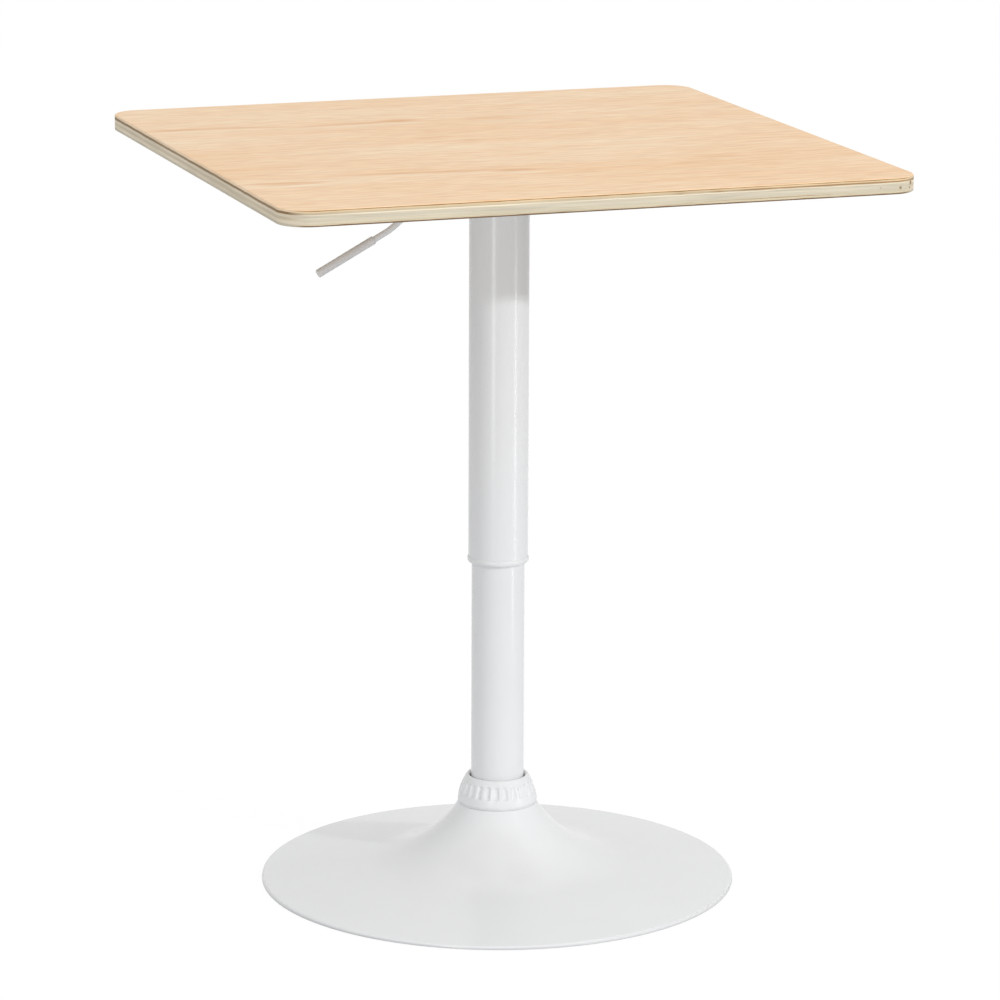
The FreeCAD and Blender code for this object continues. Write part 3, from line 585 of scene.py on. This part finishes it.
def baked_paint(name, colour, gloss_range, rim_shade_range=None):
    """A baked paint film with a fine waviness, which may be darkened between two heights in mm as painted
    shade.
    """
    material, tree, shader = start_material(name, {"IOR": 1.5})
    place = add_node(tree, "ShaderNodeTexCoord").outputs["Object"]
    peel = add_node(tree, "ShaderNodeTexNoise", {
        "Vector": place, "Scale": 1 / (peel_size * mm), "Detail": 1.0,
    })
    cloud = add_node(tree, "ShaderNodeTexNoise", {
        "Vector": place, "Scale": 1 / (cloud_size * mm), "Detail": 2.0,
    })
    shade = add_node(tree, "ShaderNodeMapRange", {
        0: cloud.outputs["Fac"], 1: 0.3, 2: 0.7, 3: 0.985, 4: 1.0,
    })
    film = add_node(tree, "ShaderNodeVectorMath", {
        0: linear(colour)[:3], 1: shade.outputs[0],
    }, operation="MULTIPLY")
    # Painted shade: the film gets darker between the two heights, towards the floor.
    if rim_shade_range:
        level = add_node(tree, "ShaderNodeSeparateXYZ", {0: place}).outputs["Z"]
        painted_rim_shade = add_node(tree, "ShaderNodeMapRange", {
            0: level, 1: rim_shade_range[0] * mm, 2: rim_shade_range[1] * mm, 3: 1.0, 4: darkest_rim_shade,
        })
        film = add_node(tree, "ShaderNodeVectorMath", {
            0: film.outputs[0], 1: painted_rim_shade.outputs[0],
        }, operation="MULTIPLY")
    gloss = add_node(tree, "ShaderNodeMapRange", {
        0: cloud.outputs["Fac"], 1: 0.3, 2: 0.7, 3: gloss_range[0], 4: gloss_range[1],
    })
    relief = add_node(tree, "ShaderNodeBump", {
        "Height": peel.outputs["Fac"], "Strength": 0.08, "Distance": 0.02 * mm,
    })
    fill(tree, shader, {
        "Base Color": film.outputs[0], "Roughness": gloss.outputs[0], "Normal": relief.outputs[0],
    })
    return material


white_coat = baked_paint("white_powder_coat", "EAEBEC", (0.17, 0.23))
# The rim of the base gets darker towards the floor. This is painted shade where the rim meets the floor.
rim_shaded_coat = baked_paint("white_powder_coat_painted_rim_shade", "EAEBEC", (0.17, 0.23), (3.4, 1.4))
black_coat = baked_paint("black_stoved_paint", "161616", (0.28, 0.36))
print("paints:", white_coat.name, rim_shaded_coat.name, black_coat.name)

# %% [markdown]
# ## Moulded plastics and rubber
# The collar and the ring are moulded in white ABS, the lever's sleeve in a softer plastic, the guides in
# nylon and the seals in rubber. A mould leaves a very fine grain and a soft sheen, and its colour goes
# right through, so no edge shows another colour. One recipe makes them all, with its own grain for each.

# %% Moulded materials
flow_size = 25


def moulded(name, colour, gloss, grain_mm, depth_mm, constants):
    """A moulded plastic or rubber: its colour, its roughness, and the size and depth of its grain."""
    material, tree, shader = start_material(name, constants)
    place = add_node(tree, "ShaderNodeTexCoord").outputs["Object"]
    grain = add_node(tree, "ShaderNodeTexNoise", {
        "Vector": place, "Scale": 1 / (grain_mm * mm), "Detail": 2.0,
    })
    flow = add_node(tree, "ShaderNodeTexNoise", {
        "Vector": place, "Scale": 1 / (flow_size * mm), "Detail": 1.0,
    })
    shade = add_node(tree, "ShaderNodeMapRange", {0: flow.outputs["Fac"], 1: 0.3, 2: 0.7, 3: 0.97, 4: 1.0})
    body = add_node(tree, "ShaderNodeVectorMath", {
        0: linear(colour)[:3], 1: shade.outputs[0],
    }, operation="MULTIPLY")
    sheen = add_node(tree, "ShaderNodeMapRange", {
        0: flow.outputs["Fac"], 1: 0.3, 2: 0.7, 3: gloss, 4: gloss + 0.08,
    })
    relief = add_node(tree, "ShaderNodeBump", {
        "Height": grain.outputs["Fac"], "Strength": 0.3, "Distance": depth_mm * mm,
    })
    fill(tree, shader, {
        "Base Color": body.outputs[0], "Roughness": sheen.outputs[0], "Normal": relief.outputs[0],
    })
    return material


white_abs = moulded("white_moulded_abs", "EAEBEC", 0.24, 0.6, 0.01, {"IOR": 1.54})
sleeve_plastic = moulded("pale_soft_plastic_sleeve", "E4E3E3", 0.38, 0.5, 0.004, {"IOR": 1.5})
natural_nylon = moulded("natural_nylon", "E4E1D8", 0.4, 0.8, 0.01, {
    "IOR": 1.53, "Subsurface Weight": 0.15,
})
black_rubber = moulded("black_moulded_rubber", "1B1B1B", 0.62, 0.7, 0.03, {"IOR": 1.52})
print("moulded:", white_abs.name, sleeve_plastic.name, natural_nylon.name, black_rubber.name)

# %% [markdown]
# ## Bare and plated metals
# Inside the column are turned, plated and ground metals. A lathe leaves fine rings round the axis, a
# plating bath leaves a patchy bright skin, and grinding leaves short hair lines. A metal's look is
# nearly all reflection, so each finish changes the roughness and the bump and leaves the colour alone.

# %% Metal materials
def worked_metal(name, colour, gloss, mark_mm, depth_mm):
    """A metal whose marks have this size along X, Y and Z."""
    material, tree, shader = start_material(name, {"Metallic": 1.0, "Base Color": linear(colour)})
    place = add_node(tree, "ShaderNodeMapping", {
        "Vector": add_node(tree, "ShaderNodeTexCoord").outputs["Object"], "Scale": per_mm(*mark_mm),
    })
    marks = add_node(tree, "ShaderNodeTexNoise", {"Vector": place.outputs[0], "Scale": 1.0, "Detail": 2.0})
    polish = add_node(tree, "ShaderNodeMapRange", {
        0: marks.outputs["Fac"], 1: 0.3, 2: 0.7, 3: gloss, 4: gloss + 0.14,
    })
    relief = add_node(tree, "ShaderNodeBump", {
        "Height": marks.outputs["Fac"], "Strength": 0.3, "Distance": depth_mm * mm,
    })
    fill(tree, shader, {"Roughness": polish.outputs[0], "Normal": relief.outputs[0]})
    return material


# A lathe's rings are 0.1 mm apart. They are drawn three times as coarse so that they show.
lathe_marks = (40, 40, 0.3)
turned_steel = worked_metal("turned_steel", "B4B5B7", 0.28, lathe_marks, 0.02)
turned_aluminium = worked_metal("turned_aluminium", "D3D5D7", 0.3, lathe_marks, 0.02)
turned_brass = worked_metal("turned_brass", "D3AE66", 0.26, lathe_marks, 0.02)
zinc_plate = worked_metal("zinc_plated_steel", "C3C6C9", 0.27, (1.6, 1.6, 1.6), 0.01)
hard_chrome = worked_metal("ground_hard_chrome", "DADBDD", 0.06, (0.4, 0.4, 30), 0.004)
print("metals:", [m.name for m in (turned_steel, turned_aluminium, turned_brass, zinc_plate, hard_chrome)])

# %% [markdown]
# ## Dressing the nodes
# The record says which finish slot each piece has, so one loop dresses every node from it. Only the
# plies need a second look: neighbours share a slot, but each has its own stains and fibre direction.

# %% Assign finishes
finishes = {
    "face_veneer": face_veneer,
    "pale_ply": plies["core_ply_upper"],
    "dark_ply": plies["upper_crossband"],
    "brass": turned_brass,
    "white_paint": white_coat,
    "black_paint": black_coat,
    "zinc_steel": zinc_plate,
    "bare_steel": turned_steel,
    "chrome": hard_chrome,
    "aluminium": turned_aluminium,
    "white_plastic": white_abs,
    "grip_plastic": sleeve_plastic,
    "nylon": natural_nylon,
    "black_rubber": black_rubber,
}
for part in frame["record"]["subparts"]:
    nodes[part["node"]].material_slots[0].material = finishes[part["material_slot"]]
nodes["bottom_veneer"].material_slots[0].material = back_veneer
# The base shell's coat carries painted shade near the floor.
nodes["base_shell"].material_slots[0].material = rim_shaded_coat
for node, made in plies.items():
    nodes[node].material_slots[0].material = made

# %% [markdown]
# ## Growing a piece from a rule
# Flutes and weld beads repeat, so a geometry tree makes them from a few named sizes. A modifier runs the
# tree on a simple start mesh. The result is then kept as a plain mesh, because an export can't run trees.

# %% Helpers for grown pieces
def start_tree(name, sizes):
    """A geometry tree with its named inputs, and its input node."""
    tree = bpy.data.node_groups.new(name, "GeometryNodeTree")
    tree.interface.new_socket("Geometry", in_out="INPUT", socket_type="NodeSocketGeometry")
    for size, kind in sizes.items():
        tree.interface.new_socket(size, in_out="INPUT", socket_type=kind)
    tree.interface.new_socket("Geometry", in_out="OUTPUT", socket_type="NodeSocketGeometry")
    return tree, add_node(tree, "NodeGroupInput").outputs


def end_tree(tree, geometry, finish):
    """Ends a tree with smooth shading, real meshes for instances, and its material."""
    smooth = add_node(tree, "GeometryNodeSetShadeSmooth", {"Geometry": geometry})
    real = add_node(tree, "GeometryNodeRealizeInstances", {"Geometry": smooth.outputs[0]})
    dressed = add_node(tree, "GeometryNodeSetMaterial", {"Geometry": real.outputs[0], "Material": finish})
    add_node(tree, "NodeGroupOutput", {"Geometry": dressed.outputs[0]})


def grow(name, start_mesh, tree, sizes):
    """Runs a tree on a start mesh and keeps the result as a plain object."""
    start = bpy.data.objects.new(name + "_start", start_mesh)
    bpy.context.scene.collection.objects.link(start)
    modifier = start.modifiers.new(name, "NODES")
    modifier.node_group = tree
    for socket in tree.interface.items_tree:
        if socket.in_out == "INPUT" and socket.name in sizes:
            modifier[socket.identifier] = sizes[socket.name]
    grown = start.evaluated_get(bpy.context.evaluated_depsgraph_get())
    mesh = bpy.data.meshes.new_from_object(grown)
    mesh.name = name
    bpy.data.objects.remove(start)
    made = bpy.data.objects.new(name, mesh)
    bpy.context.scene.collection.objects.link(made)
    return made


print("trees end in real meshes with a material")

# %% [markdown]
# ## The fluted collar
# The collar is a thin moulded dome that hides the joint between the tube and the neck of the base, with 26
# shallow scoops round it. A scoop could be cut out 26 times, which leaves slivers where cuts meet. Here the
# smooth dome is turned first, and one rule then pushes its outside in by the depth of a scoop, so the mesh
# stays even and the light runs softly over each scoop.

# %% Collar outline
collar_low, collar_high = [[v / mm for v in corner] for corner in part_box("base_collar")]
collar_radius = collar_high[0]
foot_level = collar_low[2]
foot_inner = 32.4
foot_height = 2.0
wall = 2.4
band_height = 3.0
band_bulge = 0.9
dome_radius = 54.0
dome_inset = 53.7
dome_drop = 5.64
dome_foot_degrees = 84
dome_middle = (collar_radius - dome_inset, foot_level + band_height - dome_drop)
lip_outer = 30.7
lip_inner = 26.6
lip_middle = (lip_outer + lip_inner) / 2
lip_half = (lip_outer - lip_inner) / 2


def dome_point(radius, degrees):
    """A point of the dome's arc, with its angle measured from straight up."""
    angle = math.radians(degrees)
    return (dome_middle[0] + radius * math.sin(angle), dome_middle[1] + radius * math.cos(angle))


def steps(first, last, count):
    """Evenly spaced values from the first to the last, both included."""
    return [first + (last - first) * i / count for i in range(count + 1)]


lip_degrees = math.degrees(math.asin((lip_outer - dome_middle[0]) / dome_radius))
lip_level = dome_point(dome_radius, lip_degrees)[1]
crown = collar_high[2] - lip_level
inner_degrees = math.degrees(math.acos((lip_level - wall - dome_middle[1]) / (dome_radius - wall)))
outline = [(foot_inner, foot_level)]
for s in steps(0, 1, 5):
    outline.append((collar_radius - band_bulge * (1 - s) ** 2, foot_level + band_height * s))
dome_first = len(outline)
outline += [dome_point(dome_radius, a) for a in steps(dome_foot_degrees, lip_degrees, 32)[1:]]
dome_last = len(outline)
for s in steps(-1, 1, 10)[1:]:
    outline.append((lip_middle - s * lip_half, lip_level + crown * (1 - s * s)))
outline.append((lip_inner, lip_level - wall))
outline += [dome_point(dome_radius - wall, a) for a in steps(inner_degrees, dome_foot_degrees, 10)]
outline += [(outline[-1][0], foot_level + foot_height), (foot_inner, foot_level + foot_height)]
print("collar outline:", len(outline), "points, lip at", round(lip_level, 2), "mm")

# %% Turn the smooth collar
flute_count = 26
segments = flute_count * 20
flute_from = 86.2
flute_to = 98.9
foot_fade = 1.6
head_fade = 2.6
around = [2 * math.pi * i / segments for i in range(segments)]
points = [(r * math.cos(a) * mm, r * math.sin(a) * mm, z * mm) for a in around for r, z in outline]
row = len(outline)
faces = []
for i in range(segments):
    here = i * row
    there = (i + 1) % segments * row
    for j in range(row):
        after = (j + 1) % row
        faces.append((here + j, there + j, there + after, here + after))
smooth_collar = bpy.data.meshes.new("smooth_collar")
smooth_collar.from_pydata(points, [], faces)
scoop = smooth_collar.attributes.new("scoop", "FLOAT", "POINT")
ramps = []
for j, (_, z) in enumerate(outline):
    rise = min((z - flute_from) / foot_fade, (flute_to - z) / head_fade, 1)
    ramps.append(max(rise, 0) if dome_first <= j < dome_last else 0)
scoop.data.foreach_set("value", ramps * segments)
print("smooth collar:", len(points), "points", len(faces), "faces")

# %% Push the scoops in
flute_depth = 2.1
flute_share = 0.68
crease_degrees = 34
flute_tree, given = start_tree("collar_scoops", {
    "Flutes": "NodeSocketInt", "Flute Depth": "NodeSocketFloat", "Flute Share": "NodeSocketFloat",
    "Finish": "NodeSocketMaterial",
})
place = add_node(flute_tree, "GeometryNodeInputPosition").outputs[0]
axes = add_node(flute_tree, "ShaderNodeSeparateXYZ", {0: place}).outputs
angle = add_node(flute_tree, "ShaderNodeMath", {0: axes["Y"], 1: axes["X"]}, operation="ARCTAN2")
count = add_node(flute_tree, "ShaderNodeMath", {0: given["Flutes"], 1: 2 * math.pi}, operation="DIVIDE")
across = add_node(flute_tree, "ShaderNodeMath", {
    0: angle.outputs[0], 1: count.outputs[0], 2: 0.5,
}, operation="MULTIPLY_ADD").outputs[0]
# From -1 to 1 across a flute. Divided by the share and squared, it leaves land between scoops.
for operation, others in (
    ("FRACT", {}),
    ("MULTIPLY_ADD", {1: 2.0, 2: -1.0}),
    ("DIVIDE", {1: given["Flute Share"]}),
    ("POWER", {1: 2.0}),
):
    across = add_node(flute_tree, "ShaderNodeMath", {0: across, **others}, operation=operation).outputs[0]
depth = add_node(flute_tree, "ShaderNodeMath", {
    0: 1.0, 1: across,
}, operation="SUBTRACT", use_clamp=True).outputs[0]
ramp = add_node(flute_tree, "GeometryNodeInputNamedAttribute", {"Name": "scoop"}, data_type="FLOAT")
for factor in (ramp.outputs["Attribute"], given["Flute Depth"]):
    depth = add_node(flute_tree, "ShaderNodeMath", {0: depth, 1: factor}, operation="MULTIPLY").outputs[0]
inward = add_node(flute_tree, "ShaderNodeVectorMath", {
    0: place, 1: (-1.0, -1.0, 0.0),
}, operation="MULTIPLY")
inward = add_node(flute_tree, "ShaderNodeVectorMath", {0: inward.outputs[0]}, operation="NORMALIZE")
push = add_node(flute_tree, "ShaderNodeVectorMath", {
    0: inward.outputs[0], "Scale": depth,
}, operation="SCALE")
pushed = add_node(flute_tree, "GeometryNodeSetPosition", {
    "Geometry": given["Geometry"], "Offset": push.outputs[0],
})
end_tree(flute_tree, pushed.outputs[0], given["Finish"])
collar = grow("fluted_collar", smooth_collar, flute_tree, {
    "Flutes": flute_count, "Flute Depth": flute_depth * mm, "Flute Share": flute_share, "Finish": white_abs,
})
collar.data.set_sharp_from_angle(angle=math.radians(crease_degrees))
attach(collar, "base")
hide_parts("base_collar")
print("collar:", len(collar.data.polygons), "faces")

# %% [markdown]
# ## Weld beads
# The housing is welded to the plate, and the hub to the neck of the base, before painting. A weld is a row
# of small overlapping drops of metal, and paint rounds it off. A swept tube would look like a rod that lies
# in the corner, so drops of slightly different size are set along the seam.

# %% Weld paths
housing_high = [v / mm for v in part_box("lever_housing")[1]]
hub_high = [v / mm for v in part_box("base_hub")[1]]
corner_round = 9
bead_radius = 1.9
bead_out = 0.5
seam_drop = 0.9
ring_drop = 0.8
seam_end = -30
seam_level = housing_high[2] - seam_drop
half_x = housing_high[0] + bead_out
half_y = housing_high[1] + bead_out
seam = [(seam_end, -half_y, seam_level)]
for middle_y, first in ((-(half_y - corner_round), -90), (half_y - corner_round, 0)):
    for degrees in steps(first, first + 90, 8):
        angle = math.radians(degrees)
        x = half_x - corner_round + corner_round * math.cos(angle)
        seam.append((x, middle_y + corner_round * math.sin(angle), seam_level))
seam.append((seam_end, half_y, seam_level))
ring_radius = hub_high[0] + bead_out
ring_level = hub_high[2] - ring_drop
ring = []
for angle in steps(0, 2 * math.pi, 90):
    ring.append((ring_radius * math.cos(angle), ring_radius * math.sin(angle), ring_level))
print("weld paths:", len(seam), "and", len(ring), "points")

# %% Set the drops
drop_spacing = 1.7
drop_seed = 4
smallest_drop = 0.86
largest_drop = 1.1
weld_tree, given = start_tree("weld_drops", {
    "Spacing": "NodeSocketFloat", "Drop Radius": "NodeSocketFloat", "Seed": "NodeSocketInt",
    "Finish": "NodeSocketMaterial",
})
path = add_node(weld_tree, "GeometryNodeMeshToCurve", {"Mesh": given["Geometry"]})
path = add_node(weld_tree, "GeometryNodeResampleCurve", {
    "Curve": path.outputs[0], "Length": given["Spacing"],
}, mode="LENGTH")
drop = add_node(weld_tree, "GeometryNodeMeshUVSphere", {
    "Segments": 8, "Rings": 5, "Radius": given["Drop Radius"],
})
vary = add_node(weld_tree, "FunctionNodeRandomValue", {
    2: smallest_drop, 3: largest_drop, "Seed": given["Seed"],
}, data_type="FLOAT")
drops = add_node(weld_tree, "GeometryNodeInstanceOnPoints", {
    "Points": path.outputs[0], "Instance": drop.outputs["Mesh"], "Scale": vary.outputs[1],
})
end_tree(weld_tree, drops.outputs[0], given["Finish"])
for name, path_points, body in (("housing_weld", seam, "upper"), ("hub_weld", ring, "base")):
    path_mesh = bpy.data.meshes.new(name + "_path")
    links = [(i, i + 1) for i in range(len(path_points) - 1)]
    path_mesh.from_pydata([[v * mm for v in point] for point in path_points], links, [])
    weld = grow(name, path_mesh, weld_tree, {
        "Spacing": drop_spacing * mm, "Drop Radius": bead_radius * mm, "Seed": drop_seed,
        "Finish": white_coat,
    })
    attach(weld, body)
    print(name, len(weld.data.polygons), "faces")

# %% [markdown]
# ## The end
# The looks must not change the size of the table. The last step sets the Standard view transform, so
# colours are shown without a tone curve.

# %% View transform
scene_view = bpy.context.scene.view_settings
scene_view.view_transform = "Standard"
